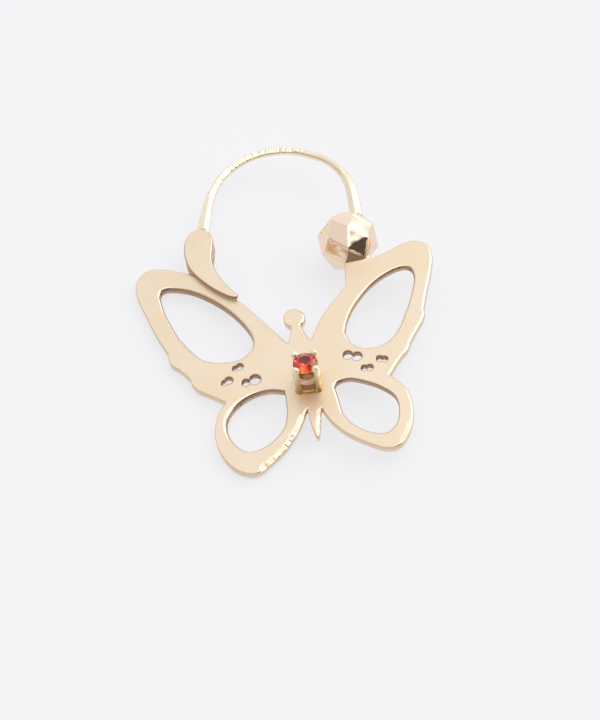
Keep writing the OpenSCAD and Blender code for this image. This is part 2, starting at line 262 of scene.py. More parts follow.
def two_lobes(x, y, radius, x2, y2, radius2, step):
    """The rim of two overlapping round holes: each circle's arc that lies outside the other.

    They cross where the cosine of the angle from the line of centres is
    (gap^2 + r^2 - r2^2) / (2 gap r) on the first, and the same with the radii swapped on the second.
    """
    gap, line = np.hypot(x2 - x, y2 - y), np.arctan2(y2 - y, x2 - x)
    cross = np.arccos((gap**2 + radius**2 - radius2**2) / (2 * gap * radius))
    cross2 = np.arccos((gap**2 + radius2**2 - radius**2) / (2 * gap * radius2))
    return np.concatenate((
        arc((x, y), radius, line + cross, line + 2 * np.pi - cross, step)[:-1],
        arc((x2, y2), radius2, line + np.pi + cross2, line + 3 * np.pi - cross2, step)[:-1],
    ))


def inside(points, contours):
    """True where a line from a point to +X crosses the contours' edges an odd number of times."""
    start = np.concatenate(contours)
    end = np.concatenate([np.roll(c, -1, axis=0) for c in contours])
    slope = (end[:, 0] - start[:, 0]) / np.where(end[:, 1] == start[:, 1], 1e-9, end[:, 1] - start[:, 1])
    found = []
    for part in np.array_split(points, max(1, len(points) // PART)):
        x, y = part[:, :1], part[:, 1:]
        spans = (start[:, 1] > y) != (end[:, 1] > y)
        found.append((spans & (x < start[:, 0] + slope * (y - start[:, 1]))).sum(axis=1) % 2 == 1)
    return np.concatenate(found)


def to_edge(points, contours):
    """Distance from each point to the nearest edge, how far round that place is, and the edge's number.

    The nearest place on an edge is its start plus a share of its step, where the share is the
    offset's part along the step over the step's square, held between 0 and 1. Lengths run on from
    one contour to the next.
    """
    start = np.concatenate(contours)
    step = np.concatenate([np.roll(c, -1, axis=0) for c in contours]) - start
    length = np.linalg.norm(step, axis=1)
    run = np.concatenate(([0], np.cumsum(length)))[:-1]
    gaps, along, edge = [], [], []
    for part in np.array_split(points, max(1, len(points) // PART)):
        offset = part[:, None] - start
        share = np.clip((offset * step).sum(axis=2) / length**2, 0, 1)
        gap = np.linalg.norm(offset - share[..., None] * step, axis=2)
        best = gap.argmin(axis=1)
        pick = np.arange(len(part))
        gaps.append(gap[pick, best])
        along.append(run[best] + share[pick, best] * length[best])
        edge.append(best)
    return np.concatenate(gaps), np.concatenate(along), np.concatenate(edge)


def rounded(depth, radius):
    """How far a rounded edge lies below the face: radius less the root of radius^2 - (radius - depth)^2."""
    rest = np.clip(radius - depth, 0, radius)
    return radius - np.sqrt(radius**2 - rest**2)


def buffed(depth, radius):
    """How well the buff polished a face: 1 along the edge, fading out from 0.75 to 1.2 radii inside it."""
    return 1 - smooth_step(0.75, 1.2, depth / radius)


def slab(contours, top, bottom, round_top, round_bottom, walls, least, extra=(), cut=None):
    """A flat plate with rounded edges: its points, triangles, attributes and flat-shaded faces.

    The polish attribute is 1 on the rounded edges, and sawn_and_shade is the contour's value in walls on
    the wall below them, which stands for the saw's dullness and a painted shade. The buff was drawn along
    the edges that face +X, which are rounded in full, while the others keep only the contour's share of
    their radius in least. The mean of nine neighbours, taken twice, blends one into the other.

    Rings of points lie inside each contour, the closer to the edge the denser, and are joined into
    triangles. Each point's height follows from its distance to the edge, so narrow tips come out as
    rounded ridges. round_top and round_bottom hold the radii for each contour, walls how dull its wall is
    left and how dark a painted shade it gets, extra the depths of more rings in the outer one. cut(depth,
    along) gives the height and the dullness that another tool leaves on the front. Where it took metal
    away, the sawn_and_shade attribute holds that dullness and the face is shaded flat.
    """
    rings, edges, shares, count = [], [], [], 0
    for number, (points, radius) in enumerate(zip(contours, np.maximum(round_top, round_bottom))):
        ahead = np.roll(points, -1, axis=0) - np.roll(points, 1, axis=0)
        inward = np.stack((-ahead[:, 1], ahead[:, 0]), axis=1) / np.linalg.norm(ahead, axis=1)[:, None]
        inward = inward if number == 0 else -inward
        share = least[number] + (1 - least[number]) * smooth_step(-0.1, 0.8, -inward[:, 0])
        for blend in range(2):
            share = np.convolve(np.concatenate((share[-4:], share, share[:4])), np.full(9, 1 / 9), "valid")
        shares.append(share)
        here = np.arange(count, count + len(points))
        edges.append(np.stack((here, np.roll(here, -1)), axis=1))
        count += len(points)
        # a ring at every 15 degrees of the rounding, and two on the face inside it
        depths = radius * (1 - np.cos(np.radians((15, 30, 45, 60, 75, 90))))
        depths = np.concatenate((depths, (radius * 1.15, radius * 1.6)))
        depths = np.concatenate((depths, extra)) if number == 0 else depths
        rings += [np.column_stack((points + inward * depth, np.full(len(points), depth)))
                  for depth in depths]
    # a coarse grid over the rest of the face, clear of the edges
    coarse, clear = 0.6, 0.5
    low, high = contours[0].min(axis=0), contours[0].max(axis=0)
    grid = np.meshgrid(np.arange(low[0], high[0], coarse), np.arange(low[1], high[1], coarse))
    grid = np.stack(grid, axis=-1).reshape(-1, 2)
    rings.append(np.column_stack((grid, np.full(len(grid), clear))))
    rings = np.concatenate(rings)
    # a point is dropped where some edge is nearer than the one that it was set out from
    deep, along, edge = to_edge(rings[:, :2], contours)
    kept = inside(rings[:, :2], contours) & (deep > rings[:, 2] * 0.96)
    flat = np.concatenate(contours + [rings[kept, :2]])
    edges = np.concatenate(edges)
    # closer than this two points would be made one, and below this a triangle has no area
    near, no_area = 1e-6, 1e-9
    made = delaunay_2d_cdt(flat.tolist(), edges.tolist(), [], 0, near)
    if len(made[0]) != len(flat):
        raise RuntimeError("the outline crosses itself")
    triangles = np.array(made[3])[:, 0][np.array(made[2])]
    corners = flat[triangles]
    turn = np.cross(corners[:, 1] - corners[:, 0], corners[:, 2] - corners[:, 0])
    triangles = np.where(turn[:, None] < 0, triangles[:, ::-1], triangles)
    triangles = triangles[(np.abs(turn) > no_area) & inside(corners.mean(axis=1), contours)]
    rim = to_edge(flat[:count], contours)
    depth = np.concatenate((np.zeros(count), deep[kept]))
    along = np.concatenate((rim[1], along[kept]))
    edge = np.concatenate((rim[2], edge[kept]))
    owner = np.repeat(np.arange(len(contours)), [len(c) for c in contours])[edge]
    radius = np.array(round_top)[owner] * np.concatenate(shares)[edge]
    radius_back = np.array(round_bottom)[owner]
    front = top - rounded(depth, radius)
    level, dull = (np.full(len(flat), np.inf), np.zeros(len(flat))) if cut is None else cut(depth, along)
    taken = level < front
    polish = np.where(taken, 1, buffed(depth, radius))
    front = np.minimum(front, level)
    back = bottom + rounded(depth, radius_back)
    points = np.concatenate((np.column_stack((flat, front)), np.column_stack((flat, back))))
    size = len(flat)
    wall = np.concatenate((
        np.column_stack((edges[:, 1], edges[:, 0], edges[:, 0] + size)),
        np.column_stack((edges[:, 1], edges[:, 0] + size, edges[:, 1] + size)),
    ))
    faces = np.concatenate((triangles, triangles[:, ::-1] + size, wall))
    sharp = np.concatenate((taken[triangles].all(axis=1), np.zeros(len(triangles) + len(wall), bool)))
    polish = np.concatenate((polish, buffed(depth, radius_back)))
    # the wall's saw dullness and painted shade end within 0.12 mm of the edge on the front, and are weaker
    # on the back, so the wall is painted lighter toward the back as a painted reflection of the bright
    # table
    sawn_and_shade = np.array(walls)[owner] * (1 - smooth_step(0.0, 0.12, depth))
    sawn_and_shade = np.concatenate((np.where(taken & (depth > 0), dull, sawn_and_shade), (sawn_and_shade - 0.6).clip(0)))
    return points, faces, {"polish": polish, "sawn_and_shade": sawn_and_shade}, sharp


def grid_faces(rows, columns):
    """Quads of a grid of points that closes on itself along its columns."""
    row, column = np.meshgrid(np.arange(rows - 1), np.arange(columns), indexing="ij")
    here, there = row * columns + column, row * columns + (column + 1) % columns
    return np.stack((here, there, there + columns, here + columns), axis=-1).reshape(-1, 4)


def sweep(path, side, up, radius):
    """A skin along a path: path point plus radius times (cosine of the turn along side + sine along up)."""
    turn = np.linspace(0, 2 * np.pi, radius.shape[1], endpoint=False)[None, :, None]
    points = path[:, None] + radius[..., None] * (np.cos(turn) * side[:, None] + np.sin(turn) * up[:, None])
    return points.reshape(-1, 3), grid_faces(*radius.shape)


def turned(profile, centre, sides=64):
    """A profile of (radius, height) pairs turned about the Z axis through centre."""
    profile = np.asarray(profile, float)
    spin = np.linspace(0, 2 * np.pi, sides, endpoint=False)
    x = centre[0] + profile[:, :1] * np.cos(spin)
    y = centre[1] + profile[:, :1] * np.sin(spin)
    z = np.broadcast_to(profile[:, 1:], x.shape)
    return np.stack((x, y, z), axis=-1).reshape(-1, 3), grid_faces(len(profile), sides)


def joined(*parts):
    """Several pairs of points and faces as one pair, each face counting on from the points before it."""
    counts = np.cumsum([0] + [len(points) for points, faces in parts[:-1]])
    return (np.concatenate([points for points, faces in parts]),
            np.concatenate([faces + count for (points, faces), count in zip(parts, counts)]))


def snub_faces():
    """Face normals and distances of a snub cube of corner radius 1.

    Its 24 corners are the turns of (1, 1/t, t), t = 1.8393, with an odd count of minus signs for
    one kind of turn and an even count for the other. A face's plane is that of three near corners
    which all the others lie behind.
    """
    t = 1.8393
    signs = np.stack(np.meshgrid((-1, 1), (-1, 1), (-1, 1), indexing="ij"), axis=-1).reshape(-1, 3)
    base = np.array((1, 1 / t, t))
    one = [signs[signs.prod(axis=1) == -1] * base[list(o)] for o in ((0, 1, 2), (1, 2, 0), (2, 0, 1))]
    other = [signs[signs.prod(axis=1) == 1] * base[list(o)] for o in ((0, 2, 1), (2, 1, 0), (1, 0, 2))]
    corners = np.concatenate(one + other)
    corners /= np.linalg.norm(base)
    i, j, k = np.array([(i, j, k) for i in range(24) for j in range(i) for k in range(j)]).T
    normal = np.cross(corners[j] - corners[i], corners[k] - corners[i])
    size, near = np.linalg.norm(normal, axis=1), 1e-6
    normal, i = normal[size > near] / size[size > near, None], i[size > near]
    level = (normal * corners[i]).sum(axis=1)
    normal, level = normal * np.sign(level)[:, None], np.abs(level)
    # planes through the middle are no faces
    hull = (level > 0.1) & ((normal @ corners.T).max(axis=1) < level + near)
    unique = np.unique(np.round(np.column_stack((normal[hull], level[hull])), 5), axis=0)
    return unique[:, :3], unique[:, 3]


# Blender objects and materials

def new_piece(name, points, faces, material, body, node, sharp=None, values=None, closed=False):
    """One finished piece: its mesh in the shared frame, its material, its body and its CAD node.

    sharp marks the faces that are shaded flat, and values holds the mesh's attributes. A closed
    skin has its seams and poles merged and its faces turned outward.
    """
    mesh = bpy.data.meshes.new(name)
    mesh.from_pydata(placed(points), [], faces.tolist())
    for key, value in (values or {}).items():
        mesh.attributes.new(key, "FLOAT", "POINT").data.foreach_set("value", value.astype(np.float32))
    flags = np.ones(len(mesh.polygons), bool) if sharp is None else ~sharp
    mesh.polygons.foreach_set("use_smooth", flags)
    if closed:
        work = bmesh.new()
        work.from_mesh(mesh)
        bmesh.ops.remove_doubles(work, verts=work.verts, dist=SAME_POINT)
        bmesh.ops.dissolve_degenerate(work, edges=work.edges, dist=NO_EDGE)
        bmesh.ops.recalc_face_normals(work, faces=work.faces)
        work.to_mesh(mesh)
        work.free()
    mesh.validate()
    mesh.materials.append(material)
    piece = bpy.data.objects.new(name, mesh)
    bpy.context.scene.collection.objects.link(piece)
    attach(piece, body)
    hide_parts(node)
    return piece


def to_linear(text):
    """Linear colour of an sRGB hex value: v / 12.92 below 0.04045, else ((v + 0.055) / 1.055)^2.4."""
    values = [int(text.lstrip("#")[k:k + 2], 16) / 255 for k in (0, 2, 4)]
    return [v / 12.92 if v <= 0.04045 else ((v + 0.055) / 1.055) ** 2.4 for v in values] + [1.0]


def scaled(text, level):
    """Linear colour of an sRGB hex value, made brighter or darker by a factor."""
    return [value * level for value in to_linear(text)[:3]] + [1.0]


def add_node(tree, kind, settings=None, inputs=None):
    """Adds one node, sets its properties, and sets or links its inputs. Returns the node."""
    node = tree.nodes.new(kind)
    for key, value in (settings or {}).items():
        setattr(node, key, value)
    for key, value in (inputs or {}).items():
        if isinstance(value, bpy.types.NodeSocket):
            tree.links.new(value, node.inputs[key])
        else:
            node.inputs[key].default_value = value
    return node


def new_material(name):
    """An empty material with its node tree."""
    material = bpy.data.materials.new(name)
    material.use_nodes = True
    material.node_tree.nodes.clear()
    return material, material.node_tree


def satin_gold(sizes):
    """14-carat gold sheet, tumbled to a soft satin and polished along its edges.

    The satin spreads the light evenly, while the polished rim mirrors the room in thin light and
    dark lines. The polish attribute is 0 on the satin and 1 on the rim. The walls keep the saw's
    marks, which the sawn_and_shade attribute makes duller, and it paints them browner as painted shade,
    lighter toward the back.
    The sheet inside the basket gets the same dull brown as a painted shade under the setting.
    """
    material, tree = new_material("satin_gold_sheet")
    place = add_node(tree, "ShaderNodeTexCoord").outputs["Object"]
    polish = add_node(tree, "ShaderNodeAttribute", {"attribute_name": "polish"}).outputs["Fac"]
    satin = add_node(tree, "ShaderNodeMath", {"operation": "SUBTRACT"}, {
        0: 1.0, 1: polish}).outputs["Value"]
    # tumbling marks, drawn coarser than real ones, which are too fine to show, and soft unevenness
    grain = add_node(tree, "ShaderNodeTexNoise", None, {
        "Vector": place, "Scale": 1000 / sizes.grain, "Detail": 2.0, "Roughness": 0.6}).outputs["Fac"]
    waves = add_node(tree, "ShaderNodeTexNoise", None, {
        "Vector": place, "Scale": 1000 / WAVES, "Detail": 1.0, "Roughness": 0.4}).outputs["Fac"]
    tone = add_node(tree, "ShaderNodeMix", {"data_type": "RGBA"}, {
        "Factor": waves, "A": to_linear(sizes.gold_pale),
        "B": to_linear(sizes.gold_warm)}).outputs["Result"]
    rough = add_node(tree, "ShaderNodeMapRange", None, {
        "Value": grain, "From Min": 0.3, "From Max": 0.7,
        "To Min": SATIN_ROUGH[0], "To Max": SATIN_ROUGH[1]}).outputs["Result"]
    rough = add_node(tree, "ShaderNodeMix", None, {
        "Factor": satin, "A": RIM_ROUGH, "B": rough}).outputs["Result"]
    # saw dullness and painted wall shade, carried by the mesh
    sawn_and_shade = add_node(tree, "ShaderNodeAttribute", {"attribute_name": "sawn_and_shade"}).outputs["Fac"]
    # painted shade on the sheet inside the basket, dull and brown, ends 0.85 to 1.15 mm from its middle,
    # under the lower rail
    off = add_node(tree, "ShaderNodeVectorMath", {"operation": "DISTANCE"}, {
        0: place, 1: tuple(placed((*SETTING_AT, HALF_SHEET)))}).outputs["Value"]
    under = add_node(tree, "ShaderNodeMapRange", {"interpolation_type": "SMOOTHSTEP"}, {
        "Value": off, "From Min": 0.00085, "From Max": 0.00115,
        "To Min": 1.1, "To Max": 0.0}).outputs["Result"]
    sawn_and_shade = add_node(tree, "ShaderNodeMath", {"operation": "MAXIMUM"}, {
        0: sawn_and_shade, 1: under}).outputs["Value"]
    # where sawn_and_shade is 1, a quarter of the buffed or satin look is left, and the rest turns to the
    # saw's roughness and the brown of the painted shade
    dull = add_node(tree, "ShaderNodeMath", {"operation": "MULTIPLY"}, {
        0: sawn_and_shade, 1: 0.75}).outputs["Value"]
    tone = add_node(tree, "ShaderNodeMix", {"data_type": "RGBA"}, {
        "Factor": dull, "A": tone, "B": to_linear(sizes.gold_wall_shade)}).outputs["Result"]
    rough = add_node(tree, "ShaderNodeMix", None, {
        "Factor": dull, "A": rough, "B": SAWN_ROUGH}).outputs["Result"]
    # the marks dent the satin but not the rim
    strength = add_node(tree, "ShaderNodeMath", {"operation": "MULTIPLY"}, {
        0: satin, 1: 0.03}).outputs["Value"]
    bump = add_node(tree, "ShaderNodeBump", None, {
        "Strength": strength, "Distance": 0.00002, "Height": grain}).outputs["Normal"]
    shader = add_node(tree, "ShaderNodeBsdfPrincipled", None, {
        "Base Color": tone, "Metallic": 1.0, "Roughness": rough, "Normal": bump})
    add_node(tree, "ShaderNodeOutputMaterial", None, {"Surface": shader.outputs["BSDF"]})
    return material


def polished_gold(name, colour, roughness, scratch, wave=0.0):
    """14-carat gold, filed flat and buffed: a mirror with faint hairlines a tenth of a millimetre apart.

    Real hairlines are closer, too fine to show. wave bends the mirror images a little, as
    hand-buffed facets do.
    """
    material, tree = new_material(name)
    place = add_node(tree, "ShaderNodeTexCoord").outputs["Object"]
    # six times closer along Z than along the lines
    drawn = add_node(tree, "ShaderNodeMapping", None, {
        "Vector": place, "Scale": (1.0, 1.0, 6.0)}).outputs["Vector"]
    lines = add_node(tree, "ShaderNodeTexNoise", None, {
        "Vector": drawn, "Scale": 1000 / HAIRLINE, "Detail": 3.0}).outputs["Fac"]
    rough = add_node(tree, "ShaderNodeMapRange", None, {
        "Value": lines, "From Min": 0.35, "From Max": 0.7,
        "To Min": roughness, "To Max": roughness * 2}).outputs["Result"]
    bump = add_node(tree, "ShaderNodeBump", None, {
        "Strength": scratch, "Distance": 0.00001, "Height": lines}).outputs["Normal"]
    if wave:
        dents = add_node(tree, "ShaderNodeTexNoise", None, {
            "Vector": place, "Scale": 1000 / DENTS, "Detail": 1.0}).outputs["Fac"]
        bump = add_node(tree, "ShaderNodeBump", None, {
            "Strength": wave, "Distance": 0.0001, "Height": dents, "Normal": bump}).outputs["Normal"]
    shader = add_node(tree, "ShaderNodeBsdfPrincipled", None, {
        "Base Color": to_linear(colour), "Metallic": 1.0, "Roughness": rough, "Normal": bump})
    add_node(tree, "ShaderNodeOutputMaterial", None, {"Surface": shader.outputs["BSDF"]})
    return material


def cast_gold(sizes):
    """Cast gold basket: darker and olive toward its foot as painted shade, and paler at the claws' tips as
    painted highlight.

    Tone and roughness follow the Object coordinate Z, from the sheet's face up to the girdle.
    """
    material, tree = new_material("cast_gold_setting")
    place = add_node(tree, "ShaderNodeTexCoord").outputs["Object"]
    # from 2.1 to 4.4 mm above the table
    height = add_node(tree, "ShaderNodeSeparateXYZ", None, {"Vector": place}).outputs["Z"]
    rise = add_node(tree, "ShaderNodeMapRange", {"interpolation_type": "SMOOTHSTEP"}, {
        "Value": height, "From Min": 0.0021, "From Max": 0.0044}).outputs["Result"]
    skin = add_node(tree, "ShaderNodeTexNoise", None, {
        "Vector": place, "Scale": 1000 / SKIN, "Detail": 2.0}).outputs["Fac"]
    # painted shade darkens the basket toward its foot, and a painted highlight pales it toward the tips
    tone = add_node(tree, "ShaderNodeMix", {"data_type": "RGBA"}, {
        "Factor": rise, "A": to_linear(sizes.gold_foot_shade), "B": to_linear(sizes.gold)}).outputs["Result"]
    rough = add_node(tree, "ShaderNodeMapRange", None, {
        "Value": rise, "To Min": 0.36, "To Max": 0.42}).outputs["Result"]
    bump = add_node(tree, "ShaderNodeBump", None, {
        "Strength": 0.1, "Distance": 0.00002, "Height": skin}).outputs["Normal"]
    shader = add_node(tree, "ShaderNodeBsdfPrincipled", None, {
        "Base Color": tone, "Metallic": 1.0, "Roughness": rough, "Normal": bump})
    add_node(tree, "ShaderNodeOutputMaterial", None, {"Surface": shader.outputs["BSDF"]})
    return material


def garnet(sizes):
    """Red garnet, cut and polished: clear and of a high index, with clouds of a lighter orange red."""
    material, tree = new_material("garnet_stone")
    place = add_node(tree, "ShaderNodeTexCoord").outputs["Object"]
    cloud = add_node(tree, "ShaderNodeTexNoise", None, {
        "Vector": place, "Scale": 1000 / CLOUDS, "Detail": 1.0}).outputs["Fac"]
    cloud = add_node(tree, "ShaderNodeMapRange", {"interpolation_type": "SMOOTHSTEP"}, {
        "Value": cloud, "From Min": 0.46, "From Max": 0.6}).outputs["Result"]
    tone = add_node(tree, "ShaderNodeMix", {"data_type": "RGBA"}, {
        "Factor": cloud, "A": to_linear(sizes.red), "B": to_linear(sizes.orange)}).outputs["Result"]
    shader = add_node(tree, "ShaderNodeBsdfPrincipled", None, {
        "Base Color": tone, "Roughness": 0.02, "IOR": 1.76, "Transmission Weight": 1.0})
    add_node(tree, "ShaderNodeOutputMaterial", None, {"Surface": shader.outputs["BSDF"]})
    return material


def opal_sheet(sizes):
    """Opal acrylic sheet, matt on top and lit softly from below, which keeps the shadows on it pale."""
    material, tree = new_material("opal_acrylic")
    place = add_node(tree, "ShaderNodeTexCoord").outputs["Object"]
    tooth = add_node(tree, "ShaderNodeTexNoise", None, {
        "Vector": place, "Scale": 1000 / TOOTH, "Detail": 2.0}).outputs["Fac"]
    bump = add_node(tree, "ShaderNodeBump", None, {
        "Strength": 0.02, "Distance": 0.00002, "Height": tooth}).outputs["Normal"]
    shader = add_node(tree, "ShaderNodeBsdfPrincipled", None, {
        "Base Color": to_linear(sizes.table), "Roughness": 0.9, "Specular IOR Level": 0.1,
        "Normal": bump, "Emission Color": to_linear(sizes.table_glow),
        "Emission Strength": sizes.glow})
    add_node(tree, "ShaderNodeOutputMaterial", None, {"Surface": shader.outputs["BSDF"]})
    return material


# Sizes and colours that a user would change

def millimetres(name, description, default, low, high):
    """A size property, whose number is in millimetres."""
    return FloatProperty(name=name, description=description, default=default,
                         min=low, max=high, precision=3)


def brightness(name, description, default):
    """A property for the brightness of a light."""
    return FloatProperty(name=name, description=description, default=default, min=0)


def colour_text(name, description, default):
    """A colour property that holds an sRGB hex value."""
    return StringProperty(name=name, description=description, default=default, maxlen=7)


class EarringSheetSizes(bpy.types.PropertyGroup):
    """Sizes and colours of the sawn sheet."""
    edge_radius: millimetres("Edge radius", "Radius of the polished front edge, in mm", 0.22, 0.1, 0.38)
    back_radius: millimetres("Back radius", "Radius of the sheet's back edge, in mm", 0.15, 0.05, 0.38)
    hole_radius: millimetres("Hole radius", "Radius of the holes' front edge, in mm", 0.12, 0.03, 0.2)
    spacing: millimetres("Spacing", "Distance of the points along the outline, in mm", 0.09, 0.05, 0.3)
    grain: millimetres("Grain", "Width of the satin's marks, in mm", 0.12, 0.05, 0.5)
    gold_pale: colour_text("Pale gold", "Lighter tone of the satin face", "#EBDCC9")
    # the brown that the walls and the sheet in the basket are mixed toward is a painted shade
    gold_wall_shade: colour_text("Sawn gold", "Tone of the sawn walls", "#96603F")
    gold_warm: colour_text("Warm gold", "Warmer tone of the satin face", "#E8D3B4")


class EarringBallSizes(bpy.types.PropertyGroup):
    """Sizes and colour of the faceted catch ball."""
    sharpness: FloatProperty(name="Sharpness", description="Sharpness of the ridges between the facets",
                             default=65, min=20, max=200)
    rows: IntProperty(name="Rows", description="Rows of points from the hole to the far side",
                      default=150, min=40, max=250)
    gold: colour_text("Gold", "Colour of the polished facets", "#F5DFC8")


class EarringWireSizes(bpy.types.PropertyGroup):
    """Sizes and colour of the ear wire."""
    radius: millimetres("Radius", "Radius of the wire at its top, in mm", 0.36, 0.3, 0.4)
    spacing: millimetres("Spacing", "Distance of the rings along the wire, in mm", 0.06, 0.03, 0.2)
    gold: colour_text("Gold", "Colour of the wire", "#F3E6CE")


class EarringSettingSizes(bpy.types.PropertyGroup):
    """Sizes and colours of the claw setting and its stone."""
    claw_radius: millimetres("Claw radius", "Radius of a claw over its foot, in mm", 0.24, 0.18, 0.28)
    rail_radius: millimetres("Rail radius", "Mean radius of the two rails' wire, in mm", 0.16, 0.1, 0.2)
    # the tips' paler gold is a painted highlight, and the foot's darker olive a painted shade
    gold: colour_text("Gold", "Colour of the claws' tips", "#FAECCE")
    gold_foot_shade: colour_text("Gold at the foot", "Colour of the setting's foot", "#D6BC82")
    red: colour_text("Red", "Deeper red of the stone", "#B8120D")
    orange: colour_text("Orange red", "Lighter red of the stone", "#FF6E38")


class EarringLightSizes(bpy.types.PropertyGroup):
    """Brightness and colour of the light and the table."""
    sky: brightness("Sky", "Brightness of the white surroundings", 0.86)
    wall: brightness("Wall", "Brightness of the wall behind the table", 1.02)
    window: brightness("Window", "Brightness of the window on the right", 2.1)
    lamp: brightness("Lamp", "Brightness of the lamp overhead", 1.6)
    glow: brightness("Glow", "Light that comes through the table", 0.7)
    table: colour_text("Table", "Colour of the table", "#7E7E80")
    table_glow: colour_text("Table glow", "Colour of the light through the table", "#FCFCFF")


class EarringSizes(bpy.types.PropertyGroup):
    """All sizes and colours of the earring and its stage."""
    sheet: PointerProperty(type=EarringSheetSizes)
    ball: PointerProperty(type=EarringBallSizes)
    wire: PointerProperty(type=EarringWireSizes)
    setting: PointerProperty(type=EarringSettingSizes)
    light: PointerProperty(type=EarringLightSizes)


# The pieces

def bright_cuts(outline, seed, stretches, front):
    """Bright cuts along stretches of the sheet's edge, as a function for slab().

    A stretch runs along the outline from the place nearest its first point to that nearest its
    second. It is cut in blocks, whose length, width, slope, tilt and dullness vary by chance. In
    each the face drops toward the edge as a plane: front less slope times (width less depth), plus
    tilt times the place along the block from its middle. The graver's chatter adds a wave.
    """
    step = np.linalg.norm(np.roll(outline, -1, axis=0) - outline, axis=1)
    run = np.concatenate(([0], np.cumsum(step)))[:-1]
    chance = np.random.default_rng(seed)
    chatter, chatter_length = 0.012, 0.27

    def cut(depth, along):
        """The front's height and dullness after the cuts, at a depth inside and a way along the edge."""
        level, dull = np.full(len(depth), np.inf), np.zeros(len(depth))
        for start, end, size, width, slope, tilt in stretches:
            first = run[np.linalg.norm(outline - start, axis=1).argmin()]
            last = run[np.linalg.norm(outline - end, axis=1).argmin()]
            ends = first + np.cumsum(size * chance.uniform(0.7, 1.3, 60))
            ends = np.concatenate(([first], ends[ends < last], [last]))
            block = np.clip(np.searchsorted(ends, along, side="right") - 1, 0, len(ends) - 2)
            middle = (ends[block] + ends[block + 1]) / 2
            widths = width * chance.uniform(0.88, 1.1, len(ends))
            slopes = slope * chance.uniform(0.65, 1.45, len(ends))
            tilts = chance.uniform(-tilt, tilt, len(ends))
            plane = front - slopes[block] * (widths[block] - depth) + tilts[block] * (along - middle)
            plane += chatter * np.sin(2 * np.pi * along / chatter_length)
            here = (along > first) & (along < last) & (depth < widths[block] * 1.4)
            level = np.where(here, np.minimum(level, plane), level)
            dull = np.where(here, chance.uniform(0, 0.3, len(ends))[block], dull)
        return level, dull
    return cut


class EARRING_OT_sheet(bpy.types.Operator):
    """Saws the butterfly's sheet with its openings and pierced holes and rounds its edges"""
    bl_idname = "earring.sheet"
    bl_label = "Butterfly sheet"

    def execute(self, context):
        sizes = context.scene.earring.sheet
        contours = [with_head(contour(OUTLINE, sizes.spacing), sizes.spacing)]
        contours += [contour(rows, sizes.spacing) for rows in OPENINGS]
        # the small holes need closer points
        contours += [two_lobes(*hole, sizes.spacing * 0.6) for hole in HOLES]
        # Each list goes through the outline, the upper left, lower left, lower right and upper right
        # opening and the drilled holes. The file rounded the lower left opening most.
        radii = [sizes.edge_radius * share for share in (1.1, 1.1, 1.6, 1.2, 0.9)]
        radii += [sizes.hole_radius] * len(HOLES)
        # the back was rubbed down more behind the right wings' openings and round the drilled holes
        back_shares = [1.0, 0.8, 0.8, 1.9, 1.9] + [2.0] * len(HOLES)
        back_radii = [sizes.back_radius * share for share in back_shares]
        # saw dullness and painted wall shade per contour: weak on the outline's wall, which was filed
        # smooth, full on the openings' walls and strongest on the drilled holes' walls, whose dullness is
        # as the saw and the drill left it
        walls = [0.3] + [1.0] * len(OPENINGS) + [1.2] * len(HOLES)
        # the buff reached all round the upper openings, elsewhere hardly past the edges it was drawn along
        least = [0.12, 0.8, 0.12, 0.12, 0.65] + [0.12] * len(HOLES)
        cuts = bright_cuts(contours[0], 7, BRIGHT_CUTS, HALF_SHEET)
        cut_rings = (0.42, 0.5, 0.6, 0.7)
        points, faces, values, sharp = slab(
            contours, HALF_SHEET, -HALF_SHEET, radii, back_radii, walls, least, cut_rings, cuts)
        new_piece("wing_sheet", points, faces, satin_gold(sizes), "jewel", "butterfly",
                  sharp=sharp, values=values)
        return {"FINISHED"}


class EARRING_OT_leaves(bpy.types.Operator):
    """Makes the two drop-shaped leaves of the hinge"""
    bl_idname = "earring.leaves"
    bl_label = "Hinge leaves"

    def execute(self, context):
        sizes = context.scene.earring.sheet
        rim = contour(LEAF, sizes.spacing)
        hole = arc(RIVET_AT, RIVET_HOLE, 0, 2 * np.pi, sizes.spacing)[:-1]
        material = bpy.data.materials.get("satin_gold_sheet") or satin_gold(sizes)
        # outer edges are rounded, inner ones and the hole's are only broken
        inner, broken = HALF_SHEET - LEAF_SINK, 0.03
        for name, top, bottom, round_top, round_bottom in (
                ("front_leaf", LEAF_TOP, inner, 0.14, broken),
                ("back_leaf", -inner, -LEAF_TOP, broken, 0.12)):
            # the leaves' outer walls get the full saw dullness and painted wall shade, the rivet hole none
            points, faces, values, sharp = slab(
                [rim, hole], top, bottom, [round_top, broken], [round_bottom, broken],
                [1.0, 0.0], [1.0, 1.0])
            new_piece(name, points, faces, material, "jewel", "butterfly",
                      sharp=sharp, values=values)
        return {"FINISHED"}


